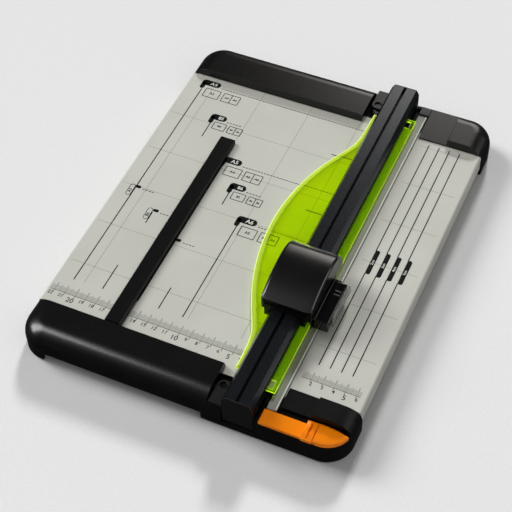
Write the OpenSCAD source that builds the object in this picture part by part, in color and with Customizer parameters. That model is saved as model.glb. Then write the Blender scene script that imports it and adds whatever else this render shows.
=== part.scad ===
// Rotary paper trimmer: a printed sheet-metal deck between two moulded end housings,
// a sprung rail that carries a sliding cutting head, and a clear clamp plate under the rail.
// X runs across the deck, Y from front to back and Z up from the table.

/* [Base] */
// Overall width of the base
base_w = 300; // [290:1:330]
// Depth of the front housing, from its outer wall to the paper stop
front_d = 41; // [40:0.5:48]
// Length of the deck that shows between the housings
deck_len = 308; // [300:1:340]
// Depth of the rear housing
rear_d = 45; // [41:0.5:52]
// Height of the deck's top face above the table
deck_h = 25; // [24:0.5:30]
// Rise of the housings above the deck
housing_rise = 7; // [6:0.5:9]
// Plan radius of the housings' outer corners
corner_r = 24; // [20:0.5:28]
// Radius of the housings' long outer edges
edge_r = 17; // [15:0.5:18]
// Wall of the moulded pieces
shell = 2.4; // [2:0.1:2.8]
// Thickness of the rubber feet
foot_t = 1.5; // [1:0.1:3]
// Radius of a rubber foot
foot_r = 8; // [6:0.5:9]
// Width of the finger gap in the front wall
grip_w = 148; // [100:1:150]
// Height of the finger gap above the table
grip_h = 10; // [8:0.5:12]
// Backward lean of the paper stop face
stop_lean = 2.5; // [1:0.1:4]

/* [Deck] */
// Thickness of the deck sheet
sheet = 1.2; // [0.8:0.1:1.5]
// Height of the folded side flanges
flange_h = 16; // [12:0.5:18]
// Outer radius of the folds
bend_r = 2.2; // [2:0.1:3]
// Set-back of the flanges from the housings' sides
flange_inset = 1.5; // [1:0.1:2.5]
// Length of the deck hidden under each housing
tuck = 8; // [7:0.5:10]

/* [Cut line] */
// Cut line, right of the deck's middle
cut_x = 79; // [74:0.5:82]
// Width of the cutting mat
mat_w = 9.6; // [9:0.1:11]
// Thickness of the cutting mat
mat_t = 2; // [1.5:0.1:2.2]
// Middle of the mat, right of the cut line
mat_shift = 2.2; // [1.5:0.1:2.6]
// Mat overhang past the deck's rear edge
mat_rear = 30; // [26:0.5:31]
// Width of the beam under the cut line
beam_w = 20; // [16:0.5:24]
// Depth of the beam under the cut line
beam_h = 13; // [10:0.5:15]

/* [Rail] */
// Width of the rail
rail_w = 27.5; // [26:0.5:29]
// Height of the rail
rail_h = 13.4; // [12:0.1:15]
// Middle of the rail, left of the cut line
rail_offset = 22; // [21.5:0.1:23]
// Width of the slot in the rail's top
slot_w = 2.8; // [2.4:0.1:3.4]
// Depth of the slot in the rail's top
slot_deep = 5; // [4:0.1:6]
// Width of the bevel on each top edge
bevel_w = 3; // [2:0.1:4]
// Drop of the bevel on each top edge
bevel_h = 5; // [3:0.1:5.5]
// Depth of the grooves in the rail's sides
groove_deep = 2.4; // [2:0.1:2.8]
// Height of the grooves in the rail's sides
groove_h = 3.4; // [3:0.1:4]
// Paper gap under the clamp plate with the rail up
paper_gap = 1.6; // [1.2:0.1:2.2]
// Thickness of the clamp plate
clamp_t = 2; // [1.6:0.1:2.4]
// Widest bulge of the clamp plate, left of its straight edge
bulge = 36.3; // [30:0.1:40]

/* [Rail ends] */
// Thickness of an end cap's front face
leg_t = 4; // [3:0.1:5]
// Set-back of an end cap from the housing's outer wall
leg_set = 1; // [0.5:0.1:1.5]
// Reach of an end cap below the deck's top face
leg_drop = 15.5; // [13:0.1:16]
// Reach of an end cap inwards from the housing's outer wall
plate_reach = 27; // [26.5:0.1:28]
// Guide post, left of the rail's middle
post_offset = 20.5; // [20.2:0.1:21.5]
// Guide post, in from the housing's outer wall
post_in = 20.5; // [19:0.1:21]
// Radius of a guide post
post_r = 3.4; // [3:0.1:3.6]
// Length of a lift spring
spring_len = 13; // [11:0.1:13]

/* [Head] */
// Blade axis, behind the paper stop
head_at = 93; // [60:1:260]
// Radius of the handle's crown along the rail
crown_r = 61.5; // [58:0.5:66]
// Top of the handle above the deck
crown_h = 36.5; // [36:0.1:40]
// Reach of the handle in front of the blade axis
cover_front = 34.5; // [34:0.1:36]
// Reach of the handle behind the blade axis
cover_rear = 36.5; // [36:0.1:38]
// Radius of the handle's rounded rear
nose_r = 22; // [21:0.5:24]
// Wall of the handle cover
cover_t = 1.6; // [1.4:0.1:2]
// Travel of the handle when it is pressed
blade_stroke = 1.8; // [1.2:0.1:2]
// Radius of the blade
blade_r = 14; // [13:0.1:14.5]
// Thickness of the blade
blade_t = 0.4; // [0.3:0.05:0.6]
// Radius of the blade axle
axle_r = 3; // [2.5:0.1:3.5]
// Width of the blade housing beside the handle
pod_w = 13; // [11:0.5:14]
// Thickness of the clear blade guard
guard_t = 2.5; // [1.5:0.1:3]

/* [Mat latch] */
// Width of the latch arm
latch_w = 14; // [12:0.5:14.5]
// Thickness of the latch arm
latch_t = 3.2; // [2.6:0.1:3.4]
// Travel that frees the mat
latch_travel = 11.5; // [11:0.5:13]

/* [Stop bar] */
// Width of the stop bar
bar_w = 15; // [13:0.5:18]
// Length of the stop bar
bar_len = 234; // [200:1:280]
// Thickness of the stop bar
bar_t = 4.5; // [3.5:0.1:6]
// Right edge of the stop bar, left of the cut line
bar_at = 148.5; // [110:0.5:200]

/* [Hidden] */
$fn = 64;

// Clearances
run_gap = 0.35;
slide_fit = 0.1;
turn_fit = 0.05;
seat_gap = 0.05;
side_gap = 0.3;
pocket_gap = 0.8;
press_margin = 0.2;
over = 1;

// Plan of the base
base_d = front_d + deck_len + rear_d;
side_x = base_w / 2;
front_y = -base_d / 2;
rear_y = base_d / 2;
stop_y = front_y + front_d;
back_y = stop_y + deck_len;
straight_x = side_x - corner_r;

// Heights of the base
housing_top = deck_h + housing_rise;
edge_z = housing_top - edge_r;
deck_under = deck_h - sheet;
part_z = deck_h - 1;
web_top = deck_h - 3.8;
web_low = web_top - shell;

// Deck
deck_w = base_w - 2 * flange_inset;
tongue_w = deck_w - 12;
mat_x = cut_x + mat_shift;
channel_w = mat_w + 2 * side_gap;
channel_l = mat_x - channel_w / 2;
channel_low = deck_h - mat_t - sheet;

// Rail and its travel
rail_x = cut_x - rail_offset;
rail_l = rail_x - rail_w / 2;
rail_r = rail_x + rail_w / 2;
clamp_low = deck_h + paper_gap;
rail_low = clamp_low + clamp_t;
rail_top = rail_low + rail_h;
press_stroke = paper_gap - press_margin;
groove_z = rail_low + 4.4;
leg_in = leg_set + leg_t;
leg_low = deck_h - leg_drop;
notch_low = leg_low - press_stroke - 1.1;
rail_front = front_y + leg_in;
rail_len = base_d - 2 * leg_in;
blade_room = 1.2;
clamp_right = cut_x - blade_room;
clamp_lip = 4.75;
clamp_left = rail_l - clamp_lip;
clamp_front = front_y + plate_reach + 3;
clamp_rear = rear_y - plate_reach - 1;

// Guide posts and the pockets around the end caps
post_x = rail_x - post_offset;
post_hole = post_r + slide_fit;
post_seat = 4;
tab_r = post_r + 2;
pocket_l = post_x - tab_r - pocket_gap;
pocket_r = rail_r + pocket_gap;
pocket_in = plate_reach + pocket_gap;
pocket_low = deck_h - spring_len;
spring_in = post_r + 0.5;
spring_out = post_r + 1.8;
slot_l = pocket_l - 1.3;
slot_r = channel_l + channel_w + 0.3;
low_w = 27.4;
cap_step = slot_r + low_w;
low_top = deck_h + 1.4;
mat_stop_in = 7;

// Housing screws
screw_r = 1.5;
head_r = 2.8;
head_t = 1.8;
rail_screw_in = 5;
boss_r = 3.6;
screw_lap = 2.5;
deck_screw_in = tuck - screw_lap;
deck_screw_set = [30, 18];
deck_screw_xs = [deck_screw_set[0] - side_x, 0, side_x - deck_screw_set[1]];
cover_boss_in = 18;
cover_boss_set = 50;
cover_boss_xs = [cover_boss_set - side_x, 0];
cap_boss_in = tuck + boss_r + 1.4;
cap_boss_x = side_x - 16;
foot_x = straight_x;
foot_in = 18;
column_r = foot_r + 1;

// Cutting head
head_y = stop_y + head_at;
cover_l = rail_x - 22.5;
cover_r = cut_x + 2;
wall_in = cover_r - 1.2;
cover_low = deck_h + 14;
crown_top = deck_h + crown_h;
crown_z = crown_top - crown_r;
nose_y = cover_rear - nose_r;
nose_z = deck_h + 12;
saddle_l = rail_l - run_gap - 4.9;
saddle_r = cut_x - 3.6;
saddle_low = rail_low + 2.4;
saddle_top = rail_top + run_gap + 3;
saddle_front = cover_front - cover_t - 0.9;
saddle_rear = cover_rear - 5.5;
pin_r = 2.5;
pin_ys = [-17, 19];
pin_len = 8;
pin_gap = blade_stroke + 0.4;
glide_w = 4;
glide_t = 1.4;
glide_off = 8;
blade_low = deck_h + press_stroke + blade_stroke + 0.1;
blade_z = blade_low + blade_r;
pod_low = deck_h + 6;
pod_arc = 35;
pod_top = deck_h + 20;
pod_front = 35;
pod_rear = 21;
pod_round = 16;
pod_screw_in = 4.5;
pod_screw_up = 3;
guard_arc = 45;
guard_top = deck_h + 11.5;
hub_r = 8;
hub_t = 2;
boss_in = blade_t / 2 + side_gap;
clip_t = 0.8;
axle_left = blade_t / 2 + hub_t + side_gap + clip_t;

// Mat latch
latch_l = mat_x - mat_w / 2 - 1.3;
latch_in = 1.6;
mat_start = latch_in + latch_w + 2 * side_gap;
grip_x = cap_step - 2;
grip_len = 9.5;
grip_rise = 1.6;
rib_w = 4;
tail_set = 1.2;
tail_back = 19.8;
tail_r = 70;
keel_w = 5;
keel_len = 10;
keeper_t = 1.6;
keeper_lap = 2;
keel_x = foot_x - column_r - side_gap - keeper_lap - latch_travel - keel_len;

// Section of a housing's edge: distance in from the outer wall, and height
module edge_section(inset, reach) {
  translate([edge_r, 0])
    square([reach - edge_r, housing_top - inset]);
  translate([inset, 0])
    square([edge_r - inset, edge_z]);
  intersection() {
    translate([edge_r, edge_z])
      circle(r = edge_r - inset);
    translate([inset, edge_z])
      square(edge_r - inset);
  }
}

// Lay a section drawn as (X, Z) along Y
module along_y(length) {
  translate([0, length, 0])
    rotate([90, 0, 0])
      linear_extrude(length)
        children();
}

// Lay a section drawn as (Y, Z) along X
module along_x(length) {
  rotate([90, 0, 90])
    linear_extrude(length)
      children();
}

// Full-width housing with rounded corners and edges, its outer wall on Y = 0
module housing_form(depth, inset) {
  reach = depth - inset;
  translate([-straight_x, 0, 0])
    along_x(2 * straight_x)
      edge_section(inset, reach);
  for (flip = [0, 1])
    mirror([flip, 0, 0])
      translate([straight_x, 0, 0])
        housing_corner(inset, reach);
}

// One rounded corner and the side wall behind it
module housing_corner(inset, reach) {
  translate([0, corner_r, 0])
    rotate([0, 0, -90])
      rotate_extrude(angle = 90)
        corner_section(inset);
  translate([0, corner_r, 0])
    along_y(reach - corner_r)
      corner_section(inset);
}

// The edge section measured out from the corner's axis
module corner_section(inset) {
  translate([corner_r, 0])
    mirror([1, 0])
      edge_section(inset, corner_r);
}

// Everything between two heights
module slab(low, high) {
  translate([-side_x - over, -over, low])
    cube([base_w + 2 * over, max(front_d, rear_d) + 2 * over, high - low]);
}

// A box given by its low and high corners
module box(low, high) {
  translate(low)
    cube(high - low);
}

module at_front() {
  translate([0, front_y, 0])
    children();
}

module at_rear() {
  translate([0, rear_y, 0])
    mirror([0, 1, 0])
      children();
}

module at_both_ends() {
  at_front()
    children();
  at_rear()
    children();
}

// Folded outline with two rounded top corners
module fold_outline(width, height, radius, top) {
  translate([-width / 2, top - height])
    square([width, height - radius]);
  translate([radius - width / 2, top - radius])
    square([width - 2 * radius, radius]);
  for (side = [-1, 1])
    translate([side * (width / 2 - radius), top - radius])
      circle(r = radius);
}

// Pressed channel for the mat
module channel_section() {
  difference() {
    translate([channel_l - sheet, channel_low])
      square([channel_w + 2 * sheet, mat_t + sheet]);
    translate([channel_l, deck_h - mat_t])
      square([channel_w, mat_t + over]);
  }
}

module channel_mouth() {
  translate([channel_l, deck_under - over])
    square([channel_w, sheet + 2 * over]);
}

module deck_section() {
  difference() {
    fold_outline(deck_w, flange_h, bend_r, deck_h);
    fold_outline(deck_w - 2 * sheet, flange_h, bend_r - sheet, deck_under);
    channel_mouth();
  }
  channel_section();
}

module tongue_section() {
  difference() {
    translate([-tongue_w / 2, deck_under])
      square([tongue_w, sheet]);
    channel_mouth();
  }
  channel_section();
}

// Places of the screws that hold the deck, at both ends
module deck_screw_places() {
  for (x = deck_screw_xs) {
    at_front()
      translate([x, front_d - deck_screw_in, 0])
        children();
    at_rear()
      translate([x, rear_d - deck_screw_in, 0])
        children();
  }
}

module deck() {
  color("lightgray")
    difference() {
      union() {
        translate([0, stop_y + side_gap, 0])
          along_y(deck_len - 2 * side_gap)
            deck_section();
        translate([0, stop_y - tuck, 0])
          along_y(deck_len + 2 * tuck)
            tongue_section();
      }
      deck_screw_places()
        translate([0, 0, deck_under - over])
          cylinder(r = screw_r + seat_gap, h = sheet + 2 * over);
    }
}

// Solid round an end cap's pocket
module pocket_block() {
  box([pocket_l - shell, 0, notch_low - shell], [pocket_r + shell, pocket_in + shell, web_top]);
}

// Columns over the rubber feet
module foot_columns() {
  for (side = [-1, 1])
    translate([side * foot_x, foot_in, 0])
      cylinder(r = column_r, h = web_top);
}

// Room for an end cap and its post
module end_cap_room() {
  box([pocket_l, leg_in + side_gap, pocket_low], [pocket_r, pocket_in, housing_top]);
  box([rail_l - pocket_gap, -over, notch_low], [rail_r + pocket_gap, leg_in + pocket_gap, housing_top]);
  box([pocket_l, -over, deck_h - press_stroke - pocket_gap], [pocket_r, leg_in + pocket_gap, housing_top]);
}

// Room for the end of the deck that tucks into a housing
module deck_room(depth) {
  start = depth - tuck - side_gap;
  box([-tongue_w / 2 - side_gap, start, deck_under], [tongue_w / 2 + side_gap, depth + over, housing_top]);
  box([channel_l - sheet - side_gap, start, channel_low],
      [channel_l + channel_w + sheet + side_gap, depth + over, housing_top]);
}

// Holes for the screws that come up from below
module tray_screw_holes(depth) {
  for (x = deck_screw_xs)
    translate([x, depth - deck_screw_in, 0])
      cylinder(r = screw_r + seat_gap, h = deck_h);
  for (x = cover_boss_xs)
    translate([x, depth - cover_boss_in, 0])
      cylinder(r = screw_r + seat_gap, h = deck_h);
  translate([cap_boss_x, depth - cap_boss_in, 0])
    cylinder(r = screw_r + seat_gap, h = deck_h);
}

// Lower moulding of a housing, its outer wall on Y = 0
module tray_body(depth, mat_end) {
  difference() {
    union() {
      difference() {
        intersection() {
          housing_form(depth, 0);
          slab(foot_t, part_z);
        }
        difference() {
          intersection() {
            housing_form(depth, shell);
            slab(-over, web_low);
          }
          pocket_block();
          foot_columns();
        }
        intersection() {
          housing_form(depth, shell);
          slab(web_top, part_z + over);
        }
      }
      box([channel_l, mat_end, web_low], [channel_l + channel_w, depth - tuck - side_gap, deck_h - mat_t]);
      for (x = deck_screw_xs)
        translate([x, depth - deck_screw_in, web_low])
          cylinder(r = screw_r + 1.2, h = deck_under - web_low);
    }
    end_cap_room();
    deck_room(depth);
    tray_screw_holes(depth);
    translate([post_x, post_in, pocket_low - post_seat])
      cylinder(r = post_r + seat_gap, h = deck_h);
  }
}

// Slot that guides the latch, and the shelf that it lies on
module latch_room() {
  box([pocket_r + shell, -over, web_top], [side_x + over, tail_back + side_gap, part_z + over]);
  box([keel_x - side_gap, latch_in + latch_w / 2 - keel_w / 2 - side_gap, web_low - over],
      [keel_x + keel_len + latch_travel + side_gap, latch_in + latch_w / 2 + keel_w / 2 + side_gap,
       web_top + over]);
}

// Finger gap under the front wall
module finger_gap() {
  right = slot_l - 5;
  box([right - grip_w, -over, -over], [right, shell + over, grip_h]);
}

module front_tray() {
  color("#1c1c1d")
    at_front()
      difference() {
        tray_body(front_d, mat_start);
        latch_room();
        finger_gap();
      }
}

module rear_tray() {
  color("#1c1c1d")
    at_rear()
      tray_body(rear_d, rear_d - mat_rear);
}

// Wedge that leans the paper stop face back
module lean_cut(depth) {
  translate([-side_x - over, 0, 0])
    along_x(base_w + 2 * over)
      polygon([
        [depth, deck_h],
        [depth + over, deck_h],
        [depth + over, housing_top + over],
        [depth - stop_lean, housing_top + over]
      ]);
}

// A screw boss under a cover's roof
module cover_boss(x, depth) {
  difference() {
    translate([x, depth, web_top])
      cylinder(r = boss_r, h = housing_top - shell / 2 - web_top);
    translate([x, depth, web_top - over])
      cylinder(r = screw_r + seat_gap, h = 6 + over);
  }
}

// Left cover of a housing, its outer wall on Y = 0
module cover_body(depth) {
  difference() {
    intersection() {
      housing_form(depth, 0);
      box([-side_x - over, -over, part_z], [slot_l, depth + over, housing_top + over]);
    }
    intersection() {
      housing_form(depth, shell);
      box([-side_x, 0, part_z - over], [slot_l - shell, depth, housing_top]);
    }
    lean_cut(depth);
    box([-tongue_w / 2 - side_gap, depth - tuck - side_gap, part_z - over],
        [slot_l + over, depth + over, deck_h + press_margin]);
  }
  for (x = cover_boss_xs)
    cover_boss(x, depth - cover_boss_in);
}

module front_cover() {
  color("#1c1c1d")
    at_front()
      cover_body(front_d);
}

module rear_cover() {
  color("#1c1c1d")
    at_rear()
      cover_body(rear_d);
}

// Right corner cap of a housing: a low step beside the mat, then a raised corner
module cap_body(depth, start) {
  difference() {
    intersection() {
      housing_form(depth, 0);
      box([slot_r, start, part_z], [side_x + over, depth + over, housing_top + over]);
    }
    intersection() {
      housing_form(depth, shell);
      box([cap_step + shell, start + shell, part_z - over], [side_x, depth - shell, housing_top]);
    }
    box([slot_r - over, -over, low_top], [cap_step, depth + over, housing_top + over]);
    lean_cut(depth);
    box([slot_r - over, depth - tuck - side_gap, part_z - over],
        [side_x - shell, depth + over, deck_h + press_margin]);
  }
  cover_boss(cap_boss_x, depth - cap_boss_in);
}

module front_cap() {
  color("#1c1c1d")
    at_front()
      cap_body(front_d, tail_back + 1);
}

module rear_cap() {
  color("#1c1c1d")
    at_rear()
      cap_body(rear_d, 0);
}

module cut_beam() {
  color("silver")
    translate([mat_x, stop_y + side_gap, 0])
      along_y(deck_len - 2 * side_gap)
        difference() {
          translate([-beam_w / 2, channel_low - beam_h])
            square([beam_w, beam_h]);
          translate([sheet - beam_w / 2, channel_low - beam_h - over])
            square([beam_w - 2 * sheet, beam_h - sheet + over]);
        }
}

module mat() {
  color("#9a9c96")
    box([mat_x - mat_w / 2, front_y + mat_start, deck_h - mat_t],
        [mat_x + mat_w / 2, back_y + mat_rear, deck_h]);
}

module mat_stop() {
  far = rear_d - mat_rear - side_gap;
  color("#1c1c1d")
    at_rear() {
      box([channel_l, mat_stop_in, web_top], [slot_r - side_gap, far, low_top]);
      intersection() {
        housing_form(rear_d, 0);
        box([channel_l, 0, part_z], [slot_r - side_gap, far, low_top]);
      }
    }
}

module guide_posts() {
  color("#2a2a2c")
    at_both_ends()
      translate([post_x, post_in, pocket_low - post_seat])
        cylinder(r = post_r, h = rail_low - press_stroke - pocket_low + post_seat);
}

module rail_springs() {
  color("silver")
    at_both_ends()
      translate([post_x, post_in, pocket_low])
        difference() {
          cylinder(r = spring_out, h = spring_len);
          translate([0, 0, -over])
            cylinder(r = spring_in, h = spring_len + 2 * over);
        }
}

module feet() {
  color("#303030")
    at_both_ends()
      for (side = [-1, 1])
        translate([side * foot_x, foot_in, 0])
          cylinder(r = foot_r, h = foot_t);
}

// A pan-head screw with its tip up, its head's seat on Z = 0
module screw(length) {
  translate([0, 0, -head_t])
    cylinder(r = head_r, h = head_t);
  cylinder(r = screw_r, h = length);
}

module deck_screws() {
  color("silver")
    deck_screw_places()
      translate([0, 0, web_low])
        screw(deck_h - web_low - 0.2);
}

// Places of the screws under one housing's covers
module cover_screw_places(depth) {
  for (x = cover_boss_xs)
    translate([x, depth - cover_boss_in, web_low])
      children();
  translate([cap_boss_x, depth - cap_boss_in, web_low])
    children();
}

module cover_screws() {
  color("silver") {
    at_front()
      cover_screw_places(front_d)
        screw(shell + 5);
    at_rear()
      cover_screw_places(rear_d)
        screw(shell + 5);
  }
}

// Outline of the rail's body, grown all round for the saddle that runs on it
module rail_outline(grow) {
  half = rail_w / 2 + grow;
  low = rail_low - grow;
  top = rail_top + grow;
  polygon([
    [-half, low],
    [half, low],
    [half, top - bevel_h],
    [half - bevel_w, top],
    [bevel_w - half, top],
    [-half, top - bevel_h]
  ]);
}

// Top slot and side grooves, narrowed all round for the keys that run in them
module rail_slots(shrink) {
  translate([-slot_w / 2 + shrink, rail_top - slot_deep + shrink])
    square([slot_w - 2 * shrink, slot_deep + over]);
  for (side = [-1, 1])
    translate([side * (rail_w / 2 - groove_deep / 2 + over / 2 + shrink / 2), groove_z + groove_h / 2])
      square([groove_deep + over - shrink, groove_h - 2 * shrink], center = true);
}

// Hollow through the rail that takes the end caps' plugs
module rail_hollow(shrink) {
  for (side = [-1, 1])
    translate([side * 6, rail_low + 4.6])
      square([7 - 2 * shrink, 4.4 - 2 * shrink], center = true);
}

module rail() {
  color("#3a3a3e")
    difference() {
      translate([rail_x, rail_front, 0])
        along_y(rail_len)
          difference() {
            rail_outline(0);
            rail_slots(0);
            rail_hollow(0);
          }
      at_both_ends()
        end_cap_screw_place()
          rail_screw_hole();
      clamp_screw_places()
        rail_screw_hole();
    }
}

// Hole for a screw that comes up into the rail
module rail_screw_hole() {
  cylinder(r = screw_r + seat_gap, h = rail_low - deck_h + rail_screw_in);
}

// Rail end cap: a face that hangs into the housing, plugs, and a plate with the guide hole
module end_cap_body() {
  difference() {
    union() {
      translate([rail_x, leg_set, 0])
        along_y(leg_t)
          union() {
            rail_outline(0);
            translate([-rail_w / 2, leg_low])
              square([rail_w, rail_low - leg_low + over]);
          }
      translate([rail_x, leg_in - over, 0])
        along_y(10)
          rail_hollow(slide_fit);
      box([rail_l, leg_in - over, deck_h], [rail_r, plate_reach, rail_low]);
      box([post_x - tab_r, leg_set + 0.8, deck_h], [rail_l + over, post_in, rail_low]);
      box([post_x, post_in - over, deck_h], [rail_l + over, post_in + tab_r, rail_low]);
      translate([post_x, post_in, deck_h])
        cylinder(r = tab_r, h = rail_low - deck_h);
    }
    translate([post_x, post_in, deck_h - over])
      cylinder(r = post_hole, h = rail_low - deck_h + 2 * over);
    end_cap_screw_place()
      translate([0, 0, -over])
        cylinder(r = screw_r + seat_gap, h = rail_low - deck_h + 2 * over);
  }
}

// Place of the screw that fixes an end cap under the rail
module end_cap_screw_place() {
  translate([rail_x, plate_reach - 6, deck_h])
    children();
}

module front_end_cap() {
  color("#26262a")
    at_front()
      end_cap_body();
}

module rear_end_cap() {
  color("#26262a")
    at_rear()
      end_cap_body();
}

module end_cap_screws() {
  color("silver")
    at_both_ends()
      end_cap_screw_place()
        screw(rail_low - deck_h + rail_screw_in - over);
}

// Left edge of the clamp plate: an easy swell in front, a round one behind
bulge_start = 2;
bulge_peak = 150;
bulge_end = 287;
bulge_rear_r = ((bulge_end - bulge_peak) ^ 2 + bulge ^ 2) / (2 * bulge);
bulge_steps = 40;

function swell(y) =
  y < bulge_peak
    ? bulge * (1 - cos(180 * (y - bulge_start) / (bulge_peak - bulge_start))) / 2
    : bulge - bulge_rear_r + sqrt(bulge_rear_r ^ 2 - (y - bulge_peak) ^ 2);

function bulge_y(step) = bulge_start + (bulge_end - bulge_start) * step / bulge_steps;

module clamp_plate() {
  edge = [for (step = [bulge_steps : -1 : 0]) [clamp_left - swell(bulge_y(step)), stop_y + bulge_y(step)]];
  color([0.65, 0.85, 0.05, 0.8])
    difference() {
      translate([0, 0, clamp_low])
        linear_extrude(clamp_t)
          polygon(concat(
            [[rail_l, stop_y - 0.4]],
            [[rail_l, clamp_front], [clamp_right, clamp_front], [clamp_right, clamp_rear]],
            [[rail_l, clamp_rear], [rail_l, back_y + 11], [clamp_left, back_y + 11]],
            edge,
            [[clamp_left, stop_y - 0.4]]
          ));
      clamp_screw_places()
        translate([0, 0, -over])
          cylinder(r = screw_r + seat_gap, h = clamp_t + 2 * over);
      clamp_screw_places()
        translate([0, 0, -over])
          cylinder(r = head_r + seat_gap, h = over + 1);
    }
}

// Places of the screws that hold the clamp plate under the rail
module clamp_screw_places() {
  for (share = [1 / 8, 1 / 2, 7 / 8])
    translate([rail_x, stop_y + deck_len * share, clamp_low])
      children();
}

module clamp_screws() {
  color("silver")
    clamp_screw_places() {
      cylinder(r = head_r, h = 1);
      cylinder(r = screw_r, h = clamp_t + rail_screw_in - over);
    }
}

// Saddle that wraps the rail and keys into its slot and side grooves
module carriage() {
  length = saddle_front + saddle_rear;
  color("#161617")
    translate([0, head_y - saddle_front, 0])
      difference() {
        along_y(length)
          translate([saddle_l, saddle_low])
            square([saddle_r - saddle_l, saddle_top - saddle_low]);
        translate([rail_x, -over, 0])
          along_y(length + 2 * over)
            difference() {
              rail_outline(run_gap);
              rail_slots(run_gap);
            }
        for (side = [-1, 1])
          box([rail_x + side * glide_off - glide_w / 2, over, rail_top],
              [rail_x + side * glide_off + glide_w / 2, length - over, rail_top + slide_fit + glide_t]);
        for (y = pin_ys)
          translate([rail_x, saddle_front + y, rail_top + over])
            cylinder(r = pin_r + seat_gap, h = 2 * over + saddle_top - rail_top);
      }
}

module glide_strips() {
  color("ivory")
    for (side = [-1, 1])
      box([rail_x + side * glide_off - glide_w / 2, head_y - saddle_front + over, rail_top + slide_fit],
          [rail_x + side * glide_off + glide_w / 2, head_y + saddle_rear - over,
           rail_top + slide_fit + glide_t]);
}

module press_pins() {
  color("silver")
    for (y = pin_ys)
      translate([rail_x, head_y + y, rail_top + over])
        cylinder(r = pin_r, h = saddle_top - rail_top - over + pin_len);
}

module press_spring() {
  roof = crown_top - cover_t - 0.4;
  color("silver")
    translate([rail_x, head_y, saddle_top])
      difference() {
        cylinder(r = 5, h = roof - saddle_top);
        translate([0, 0, -over])
          cylinder(r = 3.9, h = roof - saddle_top + 2 * over);
      }
}

// Side view of the handle: a long crown that turns down into a round rear
module handle_section(inset) {
  intersection() {
    translate([0, crown_z])
      circle(r = crown_r - inset);
    union() {
      translate([nose_y, nose_z])
        circle(r = nose_r - inset);
      translate([inset - cover_front, cover_low - over])
        square([cover_front + nose_y + nose_r / 2 - inset, crown_h]);
    }
    translate([inset - cover_front, cover_low - (inset > 0 ? over : 0)])
      square([cover_front + cover_rear - 2 * inset, crown_h]);
  }
}

// The handle's outer form, or its inside
module handle_form(inset) {
  left = cover_l + inset;
  right = inset > 0 ? wall_in : cover_r;
  translate([left, head_y, 0])
    along_x(right - left)
      handle_section(inset);
}

module handle_cover() {
  tunnel_top = rail_top + blade_stroke + 0.6;
  color("#202021")
    difference() {
      union() {
        difference() {
          handle_form(0);
          handle_form(cover_t);
        }
        intersection() {
          handle_form(0);
          for (y = pin_ys)
            translate([rail_x, head_y + y, saddle_top + pin_gap])
              cylinder(r = pin_r + 2, h = crown_h);
        }
        box([wall_in, head_y - pod_front + over, pod_low],
            [cover_r, head_y + pod_rear - over, cover_low]);
        blade_line()
          translate([0, 0, boss_in])
            cylinder(r = 2 * axle_r, h = cover_r - cut_x - boss_in);
      }
      box([rail_l - pocket_gap, head_y - cover_front - over, cover_low - over],
          [rail_r + pocket_gap, head_y + cover_rear + over, tunnel_top]);
      for (y = pin_ys)
        translate([rail_x, head_y + y, saddle_top])
          cylinder(r = pin_r + slide_fit, h = pin_len + 2);
      blade_line()
        cylinder(r = axle_r + seat_gap, h = pod_w);
      housing_screw_places()
        cylinder(r = screw_r + seat_gap, h = cover_t + over);
    }
}

// The blade's axis, with Z pointing right along it from the cut line
module blade_line() {
  translate([cut_x, head_y, blade_z])
    rotate([0, 90, 0])
      children();
}

// Places of the screws that fix the blade housing to the handle, pointing right
module housing_screw_places() {
  for (y = [pod_screw_in - pod_front, pod_rear - pod_screw_in])
    translate([wall_in, head_y + y, pod_low + pod_screw_up])
      rotate([0, 90, 0])
        children();
}

module housing_screws() {
  color("silver")
    housing_screw_places()
      screw(6);
}

module blade_housing() {
  color("#0c0c0d")
    difference() {
      intersection() {
        translate([cover_r, head_y - (pod_front - pod_rear) / 2, pod_top - pod_arc])
          rotate([0, 90, 0])
            cylinder(r = pod_arc, h = pod_w);
        translate([cut_x, head_y - pod_front, pod_top - pod_round])
          rotate([-90, 0, 0])
            cylinder(r = pod_round, h = pod_front + pod_rear);
        box([cover_r, head_y - pod_front, pod_low], [cover_r + pod_w, head_y + pod_rear, pod_top]);
      }
      housing_screw_places()
        translate([0, 0, -over])
          cylinder(r = screw_r + seat_gap, h = 6.2 + over);
    }
}

module blade_guard() {
  color([0.4, 0.4, 0.4, 0.5])
    intersection() {
      translate([cover_r + pod_w, head_y - 1, guard_top - guard_arc])
        rotate([0, 90, 0])
          cylinder(r = guard_arc, h = guard_t);
      box([cover_r + pod_w, head_y - pod_front, pod_low],
          [cover_r + pod_w + guard_t, head_y + pod_rear, guard_top]);
    }
}

module blade_axle() {
  color("silver")
    blade_line()
      translate([0, 0, -axle_left])
        cylinder(r = axle_r, h = axle_left + cover_r - cut_x);
}

module axle_clip() {
  color("silver")
    blade_line()
      translate([0, 0, -axle_left])
        difference() {
          cylinder(r = axle_r + 2, h = clip_t);
          translate([0, 0, -over])
            cylinder(r = axle_r + seat_gap, h = clip_t + 2 * over);
        }
}

// A disc on the blade's axis with a running bore
module axle_disc(radius, thick, start) {
  blade_line()
    translate([0, 0, start])
      difference() {
        cylinder(r = radius, h = thick);
        translate([0, 0, -over])
          cylinder(r = axle_r + turn_fit, h = thick + 2 * over);
      }
}

module blade() {
  color("gainsboro")
    axle_disc(blade_r, blade_t, -blade_t / 2);
}

module blade_hub() {
  color("#303033")
    axle_disc(hub_r, hub_t, -blade_t / 2 - hub_t);
}

// Plan of the latch's pointed tail, which follows the housing's rounded corner
module tail_outline() {
  intersection() {
    translate([straight_x, corner_r])
      circle(r = corner_r - tail_set);
    translate([straight_x, tail_back - tail_r])
      circle(r = tail_r, $fn = 256);
    translate([grip_x + grip_len - over, 0])
      square([side_x, tail_back]);
  }
}

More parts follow.
